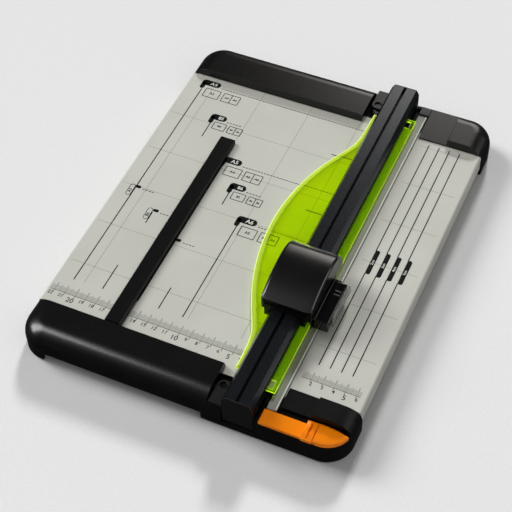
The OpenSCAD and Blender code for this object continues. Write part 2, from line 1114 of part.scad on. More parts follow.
// Side view of a finger rib, highest in the middle
module rib_section(near, far, low) {
  half = (far - near) / 2;
  crown = (half ^ 2 + grip_rise ^ 2) / (2 * grip_rise);
  intersection() {
    translate([near + half, low + grip_rise - crown])
      circle(r = crown, $fn = 256);
    translate([near, low - over])
      square([2 * half, over + grip_rise]);
  }
}

module mat_latch() {
  low = web_top + slide_fit;
  top = low + latch_t;
  tail_in = latch_in - 0.8;
  color("#f08000")
    at_front() {
      box([latch_l, latch_in, low], [grip_x + over, latch_in + latch_w, top]);
      box([grip_x, tail_in, low], [grip_x + grip_len, tail_back - 0.4, top]);
      for (rib = [0, 1])
        translate([grip_x + rib * (grip_len - rib_w), 0, 0])
          along_x(rib_w)
            rib_section(tail_in, tail_back - 0.4, top);
      translate([0, 0, low])
        linear_extrude(latch_t)
          tail_outline();
      box([keel_x, latch_in + latch_w / 2 - keel_w / 2, web_low - slide_fit],
          [keel_x + keel_len, latch_in + latch_w / 2 + keel_w / 2, low + over]);
    }
}

module latch_keeper() {
  mid = latch_in + latch_w / 2;
  color("silver")
    at_front()
      box([keel_x - keeper_lap, mid - keel_w, web_low - slide_fit - keeper_t],
          [keel_x + keel_len + keeper_lap, mid + keel_w, web_low - slide_fit]);
}

// Places of the magnets under the stop bar
module magnet_places() {
  for (share = [1 / 6, 1 / 2, 5 / 6])
    translate([cut_x - bar_at - bar_w / 2, stop_y + 0.6 + bar_len * share, deck_h])
      children();
}

module stop_bar() {
  bar_bevel = 1;
  color("#1a1a1b")
    difference() {
      translate([cut_x - bar_at - bar_w / 2, stop_y + 0.6, deck_h])
        along_y(bar_len)
          polygon([
            [-bar_w / 2, 0],
            [bar_w / 2, 0],
            [bar_w / 2, bar_t - bar_bevel],
            [bar_w / 2 - bar_bevel, bar_t],
            [bar_bevel - bar_w / 2, bar_t],
            [-bar_w / 2, bar_t - bar_bevel]
          ]);
      magnet_places()
        translate([0, 0, -over])
          cylinder(r = 5 + seat_gap, h = 2 + over + seat_gap);
    }
}

module stop_magnets() {
  color("silver")
    magnet_places()
      cylinder(r = 5, h = 2);
}

deck();
front_tray();
rear_tray();
front_cover();
rear_cover();
front_cap();
rear_cap();
cut_beam();
mat();
mat_stop();
guide_posts();
rail_springs();
feet();
deck_screws();
cover_screws();
rail();
front_end_cap();
rear_end_cap();
clamp_plate();
clamp_screws();
end_cap_screws();
carriage();
glide_strips();
press_pins();
press_spring();
handle_cover();
blade_housing();
blade_guard();
blade_axle();
axle_clip();
housing_screws();
blade();
blade_hub();
mat_latch();
latch_keeper();
stop_bar();
stop_magnets();
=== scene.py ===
import math
import bpy
from mathutils import Matrix, Vector


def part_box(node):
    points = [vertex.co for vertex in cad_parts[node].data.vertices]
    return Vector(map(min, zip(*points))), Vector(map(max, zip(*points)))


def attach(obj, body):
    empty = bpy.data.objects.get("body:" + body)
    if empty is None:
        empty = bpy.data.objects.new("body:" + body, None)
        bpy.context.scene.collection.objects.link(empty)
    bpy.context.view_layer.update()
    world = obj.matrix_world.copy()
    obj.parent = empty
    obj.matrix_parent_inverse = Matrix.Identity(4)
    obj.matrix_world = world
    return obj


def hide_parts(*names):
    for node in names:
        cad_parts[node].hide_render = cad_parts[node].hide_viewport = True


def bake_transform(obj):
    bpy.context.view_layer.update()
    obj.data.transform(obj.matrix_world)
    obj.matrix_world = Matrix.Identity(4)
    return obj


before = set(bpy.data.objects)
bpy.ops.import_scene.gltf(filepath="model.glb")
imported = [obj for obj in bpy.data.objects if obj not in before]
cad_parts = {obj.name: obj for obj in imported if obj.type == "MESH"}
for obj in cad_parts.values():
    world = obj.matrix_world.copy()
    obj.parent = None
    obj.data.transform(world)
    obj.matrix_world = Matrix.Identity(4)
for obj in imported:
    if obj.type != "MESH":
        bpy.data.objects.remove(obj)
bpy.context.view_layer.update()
mm = 0.001
print("frame loaded:", len(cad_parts), "nodes")


# picking, editing and finishing

near = 0.1 * mm  # a point this close to a place is taken to be there
onPlane = 0.01 * mm  # and this close to a plane, to lie on it
overrun = 1.0 * mm  # how far a cutter goes past what it cuts
cadMerge = {"within": 0.002, "flat": 0.6}  # mm between joined points, degrees between faces that become one
edgeAngles = {"soften": 38, "shade": 35}  # degrees, for edges that get a bevel and faces that shade as one
facings = {"squarely": 0.9, "mostly": 0.6, "partly": 0.5, "slightly": 0.1}  # least share of a unit normal


def pick(piece):
    if bpy.context.mode != "OBJECT":
        bpy.ops.object.mode_set(mode="OBJECT")
    bpy.ops.object.select_all(action="DESELECT")
    piece.select_set(True)
    bpy.context.view_layer.objects.active = piece


def clearPick():
    bpy.ops.object.select_all(action="DESELECT")


def edit(piece, kind="FACE"):
    pick(piece)
    bpy.ops.object.mode_set(mode="EDIT")
    bpy.ops.mesh.select_mode(type=kind)
    bpy.ops.mesh.select_all(action="DESELECT")


def leaveEdit():
    bpy.ops.object.mode_set(mode="OBJECT")


def selectAll():
    bpy.ops.mesh.select_all(action="SELECT")


def selectFaces(piece, wanted):
    edit(piece, "FACE")
    leaveEdit()
    for face in piece.data.polygons:
        face.select = wanted(face.center, face.normal)
    bpy.ops.object.mode_set(mode="EDIT")


def selectEdges(piece, wanted):
    edit(piece, "EDGE")
    leaveEdit()
    points = piece.data.vertices
    for line in piece.data.edges:
        line.select = wanted(points[line.vertices[0]].co, points[line.vertices[1]].co)
    bpy.ops.object.mode_set(mode="EDIT")


def shiftPoints(piece, wanted, move):
    edit(piece, "VERT")
    leaveEdit()
    for point in piece.data.vertices:
        point.select = wanted(point.co)
    bpy.ops.object.mode_set(mode="EDIT")
    bpy.ops.transform.translate(value=move)
    leaveEdit()


def extrude(move):
    bpy.ops.mesh.extrude_region_move(TRANSFORM_OT_translate={"value": move})


def bevelPicked(width, segments):
    bpy.ops.mesh.bevel(offset=width, segments=segments, affect="EDGES")
    leaveEdit()


def turnOutwards():
    selectAll()
    bpy.ops.mesh.normals_make_consistent(inside=False)


def applyPlace():
    bpy.ops.object.transform_apply(location=True, rotation=True, scale=True)


def applyModifier(piece, kind, **settings):
    pick(piece)
    added = piece.modifiers.new(kind.lower(), kind)
    for key, value in settings.items():
        setattr(added, key, value)
    bpy.ops.object.modifier_apply(modifier=added.name)


def softEdges(piece, width, segments=2):
    applyModifier(
        piece, "BEVEL", width=width, segments=segments, limit_method="ANGLE",
        angle_limit=math.radians(edgeAngles["soften"]), miter_outer="MITER_ARC", use_clamp_overlap=True,
    )


def cutAway(piece, cutter):
    applyModifier(piece, "BOOLEAN", operation="DIFFERENCE", object=cutter, solver="EXACT")
    bpy.data.objects.remove(cutter)


def mmPoint(*place):
    return Vector(place) * mm


def addBox(name, low, high):
    low, high = Vector(low), Vector(high)
    clearPick()
    bpy.ops.mesh.primitive_cube_add(size=1, location=(low + high) / 2)
    piece = bpy.context.object
    piece.name = name
    piece.scale = high - low
    applyPlace()
    return piece


def joinAll(name, pieces):
    pick(pieces[0])
    for piece in pieces[1:]:
        piece.select_set(True)
    if len(pieces) > 1:
        bpy.ops.object.join()
    whole = bpy.context.object
    whole.name = name
    applyPlace()
    return whole


def cadCopy(node, name):  # the node's triangles, merged into clean faces
    piece = bpy.data.objects.new(name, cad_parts[node].data.copy())
    bpy.context.scene.collection.objects.link(piece)
    pick(piece)
    bpy.ops.mesh.customdata_custom_splitnormals_clear()
    edit(piece, "VERT")
    selectAll()
    bpy.ops.mesh.remove_doubles(threshold=cadMerge["within"] * mm)
    bpy.ops.mesh.dissolve_limited(angle_limit=math.radians(cadMerge["flat"]))
    leaveEdit()
    return piece


def polish(piece, slot, finish, *nodes):
    pick(piece)
    applyPlace()
    bpy.ops.object.shade_smooth_by_angle(angle=math.radians(edgeAngles["shade"]))
    applyModifier(piece, "WEIGHTED_NORMAL", keep_sharp=True)  # flat faces stay flat beside a soft edge
    piece.data.materials.clear()
    piece.data.materials.append(finish)
    if nodes:
        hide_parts(*nodes)


def dress(piece, body, slot, finish, *nodes):
    polish(piece, slot, finish, *nodes)
    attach(piece, body)


def addFinish(piece, finish, wanted):  # one more finish, on the wanted faces
    piece.data.materials.append(finish)
    for face in piece.data.polygons:
        if wanted(face):
            face.material_index = len(piece.data.materials) - 1


# finishes

mottle = {  # how the two noises of every finish are read
    "cloudDetail": 3.0, "grainDetail": 5.0, "roughness": 0.6,
    "toneStops": (0.35, 0.65), "grainRange": (0.3, 0.7),
}


def shade(code):  # "#rrggbb" as it shows on screen, to the linear colour a shader takes
    parts = [int(code[at:at + 2], 16) / 255 for at in (1, 3, 5)]
    return [part / 12.92 if part < 0.04045 else ((part + 0.055) / 1.055) ** 2.4 for part in parts] + [1.0]


def addNode(tree, kind, inputs=None, **settings):
    node = tree.nodes.new(kind)
    for key, value in settings.items():
        setattr(node, key, value)
    for key, value in (inputs or {}).items():
        node.inputs[key].default_value = value
    return node


def noiseAt(tree, scale, detail, stretch):
    place = addNode(tree, "ShaderNodeTexCoord")
    turn = addNode(tree, "ShaderNodeMapping", {"Scale": stretch})
    settings = {"Scale": scale, "Detail": detail, "Roughness": mottle["roughness"]}
    noise = addNode(tree, "ShaderNodeTexNoise", settings)
    tree.links.new(place.outputs["Object"], turn.inputs["Vector"])
    tree.links.new(turn.outputs["Vector"], noise.inputs["Vector"])
    return noise.outputs["Fac"]


def rampFrom(tree, source, stops):
    ramp = addNode(tree, "ShaderNodeValToRGB")
    marks = ramp.color_ramp.elements
    marks[0].position, marks[0].color = stops[0]
    marks[1].position, marks[1].color = stops[-1]
    for position, tone in stops[1:-1]:
        marks.new(position).color = tone
    tree.links.new(source, ramp.inputs["Fac"])
    return ramp.outputs["Color"]


def spreadFrom(tree, source, low, high):
    first, last = mottle["grainRange"]
    limits = {"From Min": first, "From Max": last, "To Min": low, "To Max": high}
    spread = addNode(tree, "ShaderNodeMapRange", limits)
    tree.links.new(source, spread.inputs["Value"])
    return spread.outputs["Result"]


def makeFinish(name, look):
    finish = bpy.data.materials.new(name)
    finish.use_nodes = True
    tree = finish.node_tree
    shader = tree.nodes["Principled BSDF"]
    stretch = look.get("stretch", (1, 1, 1))
    cloud = noiseAt(tree, look["cloud"], mottle["cloudDetail"], stretch)
    grain = noiseAt(tree, look["grain"], mottle["grainDetail"], stretch)
    first, last = mottle["toneStops"]
    tones = rampFrom(tree, cloud, [(first, shade(look["dark"])), (last, shade(look["light"]))])
    tree.links.new(tones, shader.inputs["Base Color"])
    tree.links.new(spreadFrom(tree, grain, *look["rough"]), shader.inputs["Roughness"])
    bump = addNode(tree, "ShaderNodeBump", {"Strength": look["bump"], "Distance": look["relief"] * mm})
    tree.links.new(grain, bump.inputs["Height"])
    tree.links.new(bump.outputs["Normal"], shader.inputs["Normal"])
    for socket, value in look.get("sockets", {}).items():
        shader.inputs[socket].default_value = value
    return finish


looks = {
    "deckPaint": {
        "dark": "#c3c3ba", "light": "#c9c9c0", "cloud": 14, "grain": 2600,
        "rough": (0.56, 0.68), "bump": 0.12, "relief": 0.05,
        "sockets": {"Specular IOR Level": 0.2},
    },
    "blackHousing": {
        "dark": "#060505", "light": "#0a0909", "cloud": 40, "grain": 3200,
        "rough": (0.24, 0.31), "bump": 0.12, "relief": 0.03,
        "sockets": {"Specular IOR Level": 0.42},
    },
    "trayBlack": {
        "dark": "#0c0c0c", "light": "#121212", "cloud": 40, "grain": 2400,
        "rough": (0.4, 0.52), "bump": 0.2, "relief": 0.05,
        "sockets": {"Specular IOR Level": 0.12},
    },
    "railAnodised": {
        "dark": "#07080b", "light": "#0f1014", "cloud": 900, "grain": 3600, "stretch": (1, 0.3, 1),
        "rough": (0.2, 0.3), "bump": 0.3, "relief": 0.04,
        "sockets": {"Specular IOR Level": 0.74, "Specular Tint": (0.86, 0.92, 1.0, 1.0)},
    },
    "railCap": {
        "dark": "#08080b", "light": "#0d0d10", "cloud": 60, "grain": 3000,
        "rough": (0.3, 0.42), "bump": 0.2, "relief": 0.05,
    },
    "handleSatin": {
        "dark": "#090808", "light": "#0e0d0d", "cloud": 30, "grain": 3600,
        "rough": (0.2, 0.26), "bump": 0.1, "relief": 0.03,
    },
    # a darker copy of the black: painted shade for the handle's front and the saddle under it
    "shadeBlack": {
        "dark": "#040404", "light": "#070707", "cloud": 40, "grain": 2800,
        "rough": (0.4, 0.5), "bump": 0.16, "relief": 0.04,
        "sockets": {"Specular IOR Level": 0.1},
    },
    "podGloss": {
        "dark": "#040405", "light": "#070708", "cloud": 50, "grain": 900,
        "rough": (0.05, 0.12), "bump": 0.04, "relief": 0.04,
    },
    "barRubber": {
        "dark": "#080708", "light": "#0c0b0b", "cloud": 70, "grain": 2400,
        "rough": (0.36, 0.46), "bump": 0.3, "relief": 0.06,
        "sockets": {"Specular IOR Level": 0.14},
    },
    "matGrey": {
        "dark": "#8c8d85", "light": "#96978f", "cloud": 60, "grain": 1800, "stretch": (1, 0.1, 1),
        "rough": (0.38, 0.52), "bump": 0.15, "relief": 0.04,
    },
    "beadWhite": {
        "dark": "#eeeee9", "light": "#f6f6f2", "cloud": 80, "grain": 2000, "stretch": (1, 0.1, 1),
        "rough": (0.2, 0.32), "bump": 0.1, "relief": 0.03,
    },
    "latchOrange": {
        "dark": "#fa8400", "light": "#ff8c02", "cloud": 50, "grain": 2600,
        "rough": (0.26, 0.36), "bump": 0.08, "relief": 0.03,
        "sockets": {"Specular IOR Level": 0.3},
    },
    "limeClear": {
        "dark": "#e2ff02", "light": "#e8ff0c", "cloud": 20, "grain": 700,
        "rough": (0.01, 0.03), "bump": 0.01, "relief": 0.02,
        "sockets": {
            "Transmission Weight": 0.97, "IOR": 1.49,
            "Emission Color": shade("#b4d000"), "Emission Strength": 0.03,  # a painted glow, which brightens the clear lime
        },
    },
    "limeStrip": {
        "dark": "#d9ff02", "light": "#deff0a", "cloud": 20, "grain": 700,
        "rough": (0.01, 0.03), "bump": 0.01, "relief": 0.02,
        "sockets": {
            "Transmission Weight": 0.97, "IOR": 1.49,
            # a painted glow, which brightens the strip
            "Emission Color": shade("#8ad000"), "Emission Strength": 0.04,
        },
    },
    "limeRimSheen": {
        "dark": "#d8f652", "light": "#defb5c", "cloud": 40, "grain": 900,
        "rough": (0.03, 0.06), "bump": 0.01, "relief": 0.02,
        "sockets": {"Transmission Weight": 0.45, "IOR": 1.49},  # paler: a painted sheen, where light gathers near the edge
    },
    "limeLipSheen": {
        # a paler copy of the lime with a glow: painted sheen along the leaf's lip
        "dark": "#e4f888", "light": "#ebfc94", "cloud": 60, "grain": 900,
        "rough": (0.08, 0.14), "bump": 0.02, "relief": 0.02,
        "sockets": {"IOR": 1.49, "Emission Color": shade("#d8f88c"), "Emission Strength": 0.08},
    },
    "limeEdgeGlow": {
        "dark": "#e4ff20", "light": "#ecff34", "cloud": 60, "grain": 900,
        "rough": (0.12, 0.2), "bump": 0.02, "relief": 0.02,
        "sockets": {
            "Transmission Weight": 0.6, "IOR": 1.49,
            "Emission Color": shade("#c4f020"), "Emission Strength": 0.5,  # a painted glow, strongest on the upright edges
        },
    },
    "smokeClear": {
        "dark": "#b9b9b5", "light": "#c2c2be", "cloud": 40, "grain": 800,
        "rough": (0.06, 0.1), "bump": 0.02, "relief": 0.03,
        "sockets": {"Transmission Weight": 0.9, "IOR": 1.45},
    },
    "bladeSteel": {
        "dark": "#a9aaac", "light": "#b6b7b9", "cloud": 120, "grain": 3000, "stretch": (1, 1, 0.1),
        "rough": (0.16, 0.3), "bump": 0.06, "relief": 0.02,
        "sockets": {"Metallic": 1.0},
    },
    "zincPlate": {
        "dark": "#a6a7a4", "light": "#b4b5b2", "cloud": 160, "grain": 2200,
        "rough": (0.26, 0.42), "bump": 0.1, "relief": 0.03,
        "sockets": {"Metallic": 1.0},
    },
    "footRubber": {
        "dark": "#1a1a1a", "light": "#222121", "cloud": 90, "grain": 1800,
        "rough": (0.68, 0.82), "bump": 0.4, "relief": 0.08,
    },
    "glideIvory": {
        "dark": "#e0dccb", "light": "#e8e4d6", "cloud": 90, "grain": 2000,
        "rough": (0.4, 0.52), "bump": 0.12, "relief": 0.03,
    },
    "inkBlack": {
        "dark": "#0e0e0d", "light": "#151513", "cloud": 500, "grain": 4000,
        "rough": (0.45, 0.58), "bump": 0.1, "relief": 0.01,
        "sockets": {"Specular IOR Level": 0.1},
    },
    "inkGrey": {
        "dark": "#8b8c84", "light": "#97988f", "cloud": 500, "grain": 4000,
        "rough": (0.45, 0.58), "bump": 0.1, "relief": 0.01,
        "sockets": {"Specular IOR Level": 0.1},
    },
    "inkPale": {
        "dark": "#d6d6ce", "light": "#e0e0d8", "cloud": 500, "grain": 4000,
        "rough": (0.45, 0.58), "bump": 0.1, "relief": 0.01,
    },
}
finishes = {name: makeFinish(name, look) for name, look in looks.items()}
print("finishes made:", len(finishes))


# base: deck, trays, covers and caps, with softened edges

baseEdges = {"deck": 0.5, "housing": 0.7, "mat": 0.2}  # mm
housingShells = {
    "front_tray": ("frontTray", "trayBlack"), "rear_tray": ("rearTray", "trayBlack"),
    "front_cover": ("frontCover", "blackHousing"), "rear_cover": ("rearCover", "blackHousing"),
    "front_cap": ("frontCap", "trayBlack"), "rear_cap": ("rearCap", "blackHousing"),
    "mat_stop": ("matStop", "blackHousing"),
}
capSeam = {"left": 114.4, "wide": 0.7, "low": 31.0}  # mm, the line along the rear cap's raised end
matJoint = {"trim": 1.1, "deckGrow": 0.5, "within": 0.5}  # mm, the dark joint between mat and deck
matBead = {"wide": 1.4, "high": 0.85, "round": 0.55, "inset": 1.0, "root": 1.0}  # mm
matLow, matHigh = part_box("mat")


def cutSeam(shell):
    low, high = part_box("rear_cap")
    left = capSeam["left"] * mm
    right = left + capSeam["wide"] * mm
    slot = addBox("seamSlot", (left, low.y - overrun, capSeam["low"] * mm),
                  (right, high.y + overrun, high.z + overrun))
    cutAway(shell, slot)


def makeBead():
    inset, right = matBead["inset"] * mm, matHigh.x - matJoint["trim"] * mm
    left = right - matBead["wide"] * mm
    bead = addBox("matBead", (left, matLow.y + inset, matHigh.z - matBead["root"] * mm),
                  (right, matHigh.y - inset, matHigh.z + matBead["high"] * mm))
    softEdges(bead, matBead["round"] * mm, segments=3)
    return bead


deck = cadCopy("deck", "deckSheet")
shiftPoints(deck, lambda point: abs(point.x - matHigh.x) < matJoint["within"] * mm,
            (-matJoint["deckGrow"] * mm, 0, 0))
softEdges(deck, baseEdges["deck"] * mm)
dress(deck, "base", "deck_paint", finishes["deckPaint"], "deck")
for node, (name, finish) in housingShells.items():
    shell = cadCopy(node, name)
    softEdges(shell, baseEdges["housing"] * mm)
    if node == "rear_cap":
        cutSeam(shell)
    dress(shell, "base", "black_plastic", finishes[finish], node)
matStrip = cadCopy("mat", "matStrip")
shiftPoints(matStrip, lambda point: point.x > matHigh.x - near, (-matJoint["trim"] * mm, 0, 0))
softEdges(matStrip, baseEdges["mat"] * mm)
dress(matStrip, "base", "mat_plastic", finishes["matGrey"], "mat")
bead = makeBead()
dress(bead, "base", "mat_plastic", finishes["beadWhite"])
print("base dressed")


# printed lines, numbers and sheet sizes, in mm left (-) or right of the cut line and behind the paper stop

deckPrint = {
    "cutLine": 79.0, "stopLine": -156.0, "lift": 0.02, "labelLift": 0.04,
    "bold": 1.0, "thin": 0.42, "dash": 2.2, "gap": 0.9,
}
mmPerCm = 10
upwards = 90  # degrees, the turn of print that reads from front to rear
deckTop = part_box("deck")[1].z
inks = {"black": [], "grey": [], "pale": []}


def deckPoint(ink, x, y):
    lift = deckPrint["labelLift" if ink == "pale" else "lift"]
    return ((deckPrint["cutLine"] + x) * mm, (deckPrint["stopLine"] + y) * mm, deckTop + lift * mm)


def inkPatch(ink, x0, x1, y0, y1):
    bpy.ops.mesh.primitive_plane_add(size=1, location=deckPoint(ink, (x0 + x1) / 2, (y0 + y1) / 2))
    patch = bpy.context.object
    patch.scale = ((x1 - x0) * mm, (y1 - y0) * mm, 1)
    bpy.ops.object.transform_apply(location=False, rotation=False, scale=True)
    inks[ink].append(patch)
    return patch


def inkAlongX(ink, x0, x1, y, width):
    return inkPatch(ink, x0, x1, y - width / 2, y + width / 2)


def inkAlongY(ink, x, y0, y1, width):
    return inkPatch(ink, x - width / 2, x + width / 2, y0, y1)


def repeatAlongX(stroke, count, pitch):
    applyModifier(
        stroke, "ARRAY", count=count, use_relative_offset=False,
        use_constant_offset=True, constant_offset_displace=(pitch * mm, 0, 0),
    )


def inkDashes(x0, x1, y, width):
    dash, pitch = deckPrint["dash"], deckPrint["dash"] + deckPrint["gap"]
    repeatAlongX(inkAlongX("black", x0, x0 + dash, y, width), int((x1 - x0) / pitch), pitch)


def inkFrame(x0, x1, y0, y1, width):
    for y in (y0, y1):
        inkAlongX("black", x0, x1, y, width)
    for x in (x0, x1):
        inkAlongY("black", x, y0, y1, width)


def inkPill(x0, x1, y0, y1, radius):
    pill = inkPatch("black", x0, x1, y0, y1)
    edit(pill, "VERT")
    selectAll()
    bpy.ops.mesh.bevel(offset=radius * mm, segments=6, affect="VERTICES")
    leaveEdit()
    return pill


def inkRing(x0, x1, y0, y1, radius, width):
    ring = inkPill(x0, x1, y0, y1, radius)
    edit(ring, "FACE")
    selectAll()
    bpy.ops.mesh.inset(thickness=width * mm)
    bpy.ops.mesh.delete(type="FACE")  # the inner face is the one left selected
    leaveEdit()


def inkText(ink, words, x, y, size, turn=0, weight=0.0):
    bpy.ops.object.text_add(location=deckPoint(ink, x, y), rotation=(0, 0, math.radians(turn)))
    text = bpy.context.object
    text.data.body = words
    text.data.size = size * mm
    text.data.offset = weight * mm
    text.data.resolution_u = 3
    text.data.align_x, text.data.align_y = "CENTER", "CENTER"
    bpy.ops.object.convert(target="MESH")
    inks[ink].append(bpy.context.object)


rulerPrint = {
    "y": 14.4, "runs": ((-224, -41), (12, 63)), "line": 0.4,
    "strokes": [
        {"ink": "grey", "pitch": 1, "down": 0.0, "up": 5.4, "width": 0.42},
        {"ink": "black", "pitch": 5, "down": 0.0, "up": 6.6, "width": 0.3},
        {"ink": "black", "pitch": 10, "down": 3.0, "up": 8.3, "width": 0.42},
    ],
    "leftNumbers": {"from": 4, "to": 22, "shift": -2.2},
    "rightNumbers": {"from": -6, "to": -2, "shift": 1.0},
    "number": {"size": 5.0, "y": 10.6}, "bigNumber": {"size": 7.0, "y": 8.6}, "weight": 0.06,
    "big": (5, 10, 20),
}


def printStrokes(start, end):
    base = rulerPrint["y"]
    inkAlongX("black", start, end, base, rulerPrint["line"])
    for stroke in rulerPrint["strokes"]:
        pitch = stroke["pitch"]
        first = math.ceil(start / pitch) * pitch
        mark = inkAlongY(stroke["ink"], first, base - stroke["down"], base + stroke["up"], stroke["width"])
        repeatAlongX(mark, (end - first) // pitch + 1, pitch)


def printNumbers(numbers):  # centimetres left of the cut line; those right of it count below zero
    for count in range(numbers["from"], numbers["to"] + 1):
        look = rulerPrint["bigNumber" if abs(count) in rulerPrint["big"] else "number"]
        inkText("black", str(abs(count)), -mmPerCm * count + numbers["shift"], look["y"], look["size"],
                weight=rulerPrint["weight"])


def printRuler():
    for start, end in rulerPrint["runs"]:
        printStrokes(start, end)
    printNumbers(rulerPrint["leftNumbers"])
    printNumbers(rulerPrint["rightNumbers"])


gridPrint = {
    "x": (-200, -150, -100, -50), "yEnds": (30, 308),
    "y": (50, 100, 150, 200, 250), "xEnds": ((-223, -8), (12, 63.5)),
    "rearLine": {"y": 300, "xEnds": (12, 60)},
    "sizeMarks": {183: (-55, -36), 257: (-60, -36)},  # y: from x to x
}


def printGrid():
    thin, rearLine = deckPrint["thin"], gridPrint["rearLine"]
    for x in gridPrint["x"]:
        inkAlongY("grey", x, *gridPrint["yEnds"], thin)
    for y in gridPrint["y"]:
        for first, last in gridPrint["xEnds"]:
            inkAlongX("grey", first, last, y, thin)
    inkAlongX("grey", *rearLine["xEnds"], rearLine["y"], thin)
    for y, (first, last) in gridPrint["sizeMarks"].items():
        inkAlongX("black", first, last, y, deckPrint["bold"])


# each sheet has its name, the sheet it halves, its corner, its line's stretches, where its dashes end
# and the scale of its small pictures
sheetSizes = [
    {"name": "A4", "from": "A3", "corner": (-210, 297), "line": [(30.5, 290)],
     "dashTo": -30, "scale": 1.0},
    {"name": "B5", "from": "B4", "corner": (-182, 257), "line": [(31, 60), (231, 253)],
     "dashTo": -150, "scale": 0.8},
    {"name": "A5", "from": "A4", "corner": (-148, 210), "line": [(31, 204)],
     "dashTo": -20, "scale": 1.0},
    {"name": "B6", "from": "B5", "corner": (-128, 182), "line": [(31, 55.5), (160, 178)],
     "dashTo": -96, "scale": 0.8},
    {"name": "A6", "from": "A5", "corner": (-105, 148), "line": [(31, 142)],
     "dashTo": -20, "scale": 1.0},
]
sheetPrint = {  # from the sheet's corner
    "label": {"left": -3.4, "right": 16.0, "low": -1.0, "high": 6.4, "round": 3.5},
    "labelFoot": {"left": -3.4, "right": 1.3, "low": -6.5, "high": 3.5, "round": 2.2},
    "name": {"x": 9.0, "y": 2.5, "size": 5.6, "grow": 0.6},
    "dashes": {"from": 18.0, "width": 0.85},
    "whole": {"left": 4.4, "right": 20.0, "low": -15.6, "high": -4.4, "size": 4.2},
    "colon": {"x": 21.8, "size": 4.0},
    "half": {"left": 23.8, "wide": 8.6, "size": 3.5},
    "frame": 0.75, "weight": 0.12,
}
turnedSizes = [  # the same sheets laid the other way
    {"name": "A5", "corner": (-210, 148.5), "dashTo": -189, "line": None},
    {"name": "B6", "corner": (-182, 128.5), "dashTo": -164, "line": (113, 127)},
    {"name": "A6", "corner": (-148, 105), "dashTo": -128, "line": None},
]
turnedPrint = {  # from the sheet's corner
    "ring": {"left": -5.6, "right": -0.4, "low": -11.5, "high": 2.8, "round": 2.4, "width": 0.6},
    "name": {"x": -3.0, "y": -5.5, "size": 4.2, "weight": 0.1},
    "tag": {"left": -0.5, "right": 5.0, "low": -0.4, "high": 3.0, "round": 1.5},
    "dashes": {"from": 7.0, "width": 0.75},
}


def spotAt(corner, spot, stretch=1.0):  # a spot's left, right, low and high, near a sheet's corner
    x, y = corner
    return x + spot["left"], x + spot["right"] * stretch, y + spot["low"], y + spot["high"]


def printSheetLabel(sheet):
    (x, y), scale = sheet["corner"], sheet["scale"]
    label, foot, name = sheetPrint["label"], sheetPrint["labelFoot"], sheetPrint["name"]
    for low, high in sheet["line"]:
        inkAlongY("black", x, low, high, deckPrint["bold"])
    inkPill(*spotAt(sheet["corner"], label, scale), label["round"])
    inkPill(*spotAt(sheet["corner"], foot), foot["round"])
    size = name["size"] * scale + name["grow"]
    inkText("pale", sheet["name"], x + name["x"] * scale, y + name["y"], size, weight=sheetPrint["weight"])
    inkDashes(x + sheetPrint["dashes"]["from"] * scale, sheet["dashTo"], y, sheetPrint["dashes"]["width"])


def printSheetPictures(sheet):  # the whole sheet, then its two halves
    (x, y), scale = sheet["corner"], sheet["scale"]
    whole, colon, half = sheetPrint["whole"], sheetPrint["colon"], sheetPrint["half"]
    frameWidth, weight = sheetPrint["frame"], sheetPrint["weight"]
    left, right = x + whole["left"] * scale, x + whole["right"] * scale
    low, high = y + whole["low"] * scale, y + whole["high"] * scale
    middle = (low + high) / 2
    inkFrame(left, right, low, high, frameWidth)
    inkText("black", sheet["from"], (left + right) / 2, middle, whole["size"] * scale, weight=weight)
    inkText("black", ":", x + colon["x"] * scale, middle, colon["size"])
    wide = half["wide"] * scale
    for count in (0, 1):
        start = x + half["left"] * scale + wide * count
        inkFrame(start, start + wide, low, high, frameWidth)
        inkText("black", sheet["name"], start + wide / 2, middle, half["size"] * scale, weight=weight)


def printTurnedSize(sheet):
    x, y = sheet["corner"]
    ring, name, tag = turnedPrint["ring"], turnedPrint["name"], turnedPrint["tag"]
    inkRing(*spotAt(sheet["corner"], ring), ring["round"], ring["width"])
    inkText("black", sheet["name"], x + name["x"], y + name["y"], name["size"], upwards, name["weight"])
    inkPill(*spotAt(sheet["corner"], tag), tag["round"])
    inkDashes(x + turnedPrint["dashes"]["from"], sheet["dashTo"], y, turnedPrint["dashes"]["width"])
    if sheet["line"]:
        inkAlongY("black", x, *sheet["line"], deckPrint["bold"])


marginPrint = {
    "x": (20, 30, 40, 50), "ends": (31, 304),
    "tab": {"low": 136.0, "high": 164.5, "left": -0.3, "wide": 4.4, "round": 1.9, "lap": 1.0},
    "words": {"x": 1.9, "size": 3.4, "weight": 0.05},
}


def printMarginLines():
    tab, words = marginPrint["tab"], marginPrint["words"]
    start, end = marginPrint["ends"]
    middle = (tab["low"] + tab["high"]) / 2
    for x in marginPrint["x"]:
        inkAlongY("black", x, start, tab["low"] + tab["lap"], deckPrint["bold"])
        inkAlongY("black", x, tab["high"] - tab["lap"], end, deckPrint["bold"])
        inkPill(x + tab["left"], x + tab["left"] + tab["wide"], tab["low"], tab["high"], tab["round"])
        distance = "%dcm" % (x / mmPerCm)
        inkText("pale", distance, x + words["x"], middle, words["size"], upwards, words["weight"])


clearPick()
printRuler()
printGrid()
for sheet in sheetSizes:
    printSheetLabel(sheet)
    printSheetPictures(sheet)
for sheet in turnedSizes:
    printTurnedSize(sheet)
printMarginLines()
for ink, patches in inks.items():
    layer = joinAll("deckPrint." + ink, patches)
    dress(layer, "base", "deck_paint", finishes["ink" + ink.title()])
print("deck printed:", sum(len(patches) for patches in inks.values()), "patches")


# rail, its end caps and the clear clamp plate

railShape = {"edge": 0.3, "capEdge": 0.5, "reach": 3.0}  # mm, reach of the bar's ends into the caps
railLow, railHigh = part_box("rail")
railMiddle = (railLow.x + railHigh.x) / 2


def stretchEnds(piece):  # moves what lies on the rail's end planes outwards
    for end, outward in ((railLow.y, -1), (railHigh.y, 1)):
        shiftPoints(piece, lambda point: abs(point.y - end) < onPlane and point.z > railLow.z - onPlane,
                    (0, outward * railShape["reach"] * mm, 0))


